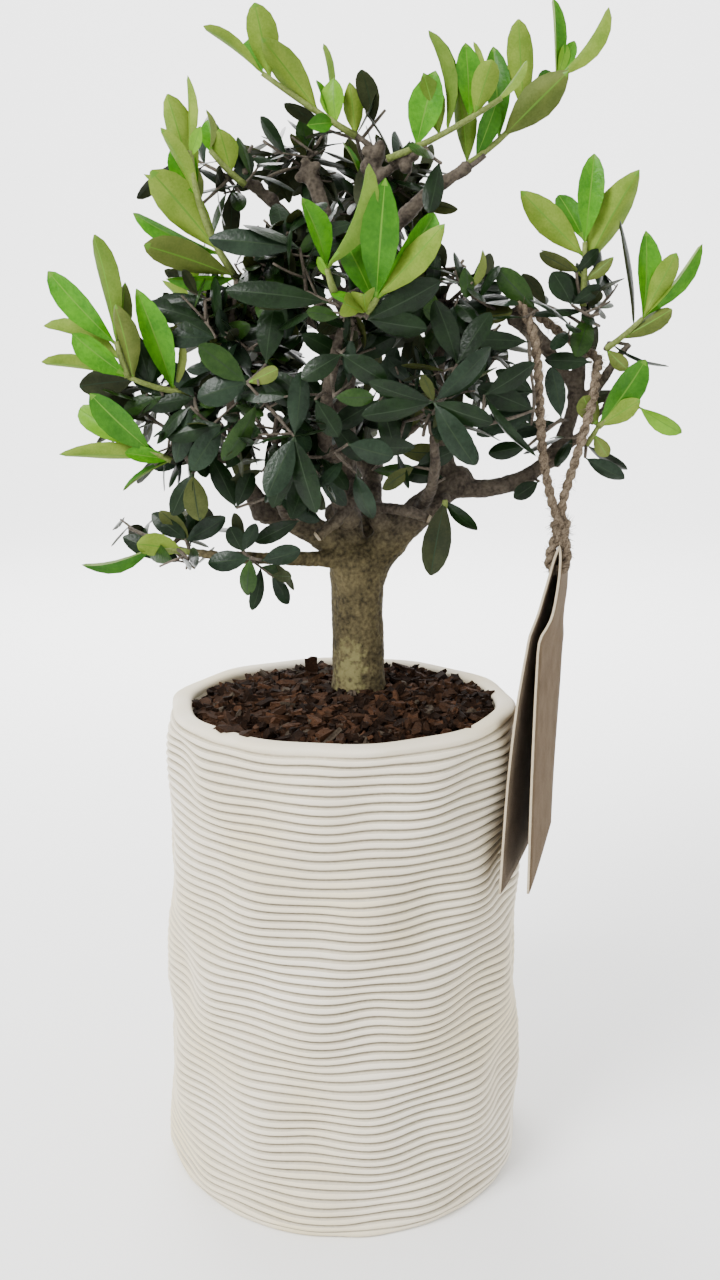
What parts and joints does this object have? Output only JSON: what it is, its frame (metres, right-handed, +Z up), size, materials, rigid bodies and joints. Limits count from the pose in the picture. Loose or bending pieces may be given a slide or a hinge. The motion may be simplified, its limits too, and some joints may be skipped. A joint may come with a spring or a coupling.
{
  "type": "olive bonsai in a ribbed clay pot",
  "caption": "Small potted olive tree with a short thick trunk and an open leafy crown, in a tall ribbed clay pot, with a blank folded card hung on twine.",
  "frame": {"origin": "centre of the pot's flat underside, on the surface that it stands on", "axes": "+Z up along the trunk, +X to the right seen from the front, +Y to the back"},
  "size_m": [0.2145, 0.1572, 0.3976],
  "materials": {
    "clay": "unglazed off-white fired clay, matte",
    "bark_mulch": "damp dark bark chips",
    "bark": "rough grey-brown bark",
    "leaf": "satin dark green leaves",
    "young_leaf": "satin bright green young leaves",
    "jute": "hairy twisted twine",
    "kraft_card": "uncoated brown card"
  },
  "bodies": {
    "root": {"back_crown": "leaf", "back_left": "bark", "back_left_spray": "leaf", "back_low": "bark", "back_middle": "leaf", "back_right": "bark", "back_right_spray": "leaf", "back_top": "bark", "card": "kraft_card", "chest_left": "leaf", "cut_stub_left": "bark", "cut_stub_right": "bark", "far_left": "leaf", "far_right": "leaf", "front": "bark", "front_left": "bark", "front_top": "young_leaf", "inner_left": "leaf", "inner_right": "leaf", "leader_low": "bark", "leader_top": "bark", "left_front": "bark", "left_low": "bark", "left_rise": "bark", "left_side": "bark", "low_left": "leaf", "low_right": "leaf", "lower_left": "bark", "mulch": "bark_mulch", "pot": "clay", "right_drop": "bark", "right_end": "bark", "right_front": "bark", "right_hook": "bark", "right_knob": "bark", "right_low": "bark", "right_out": "bark", "right_out_rise": "bark", "right_rise": "bark", "shoulder_left": "young_leaf", "shoulder_right": "leaf", "tip_right": "young_leaf", "top_left": "young_leaf", "top_middle": "young_leaf", "top_right": "bark", "top_right_spray": "leaf", "top_spur": "bark", "trunk": "bark", "twine": "jute", "under_right": "leaf", "upper_back": "leaf", "upper_left": "bark", "upper_left_spray": "leaf", "upper_spur": "bark"}
  },
  "joints": []
}
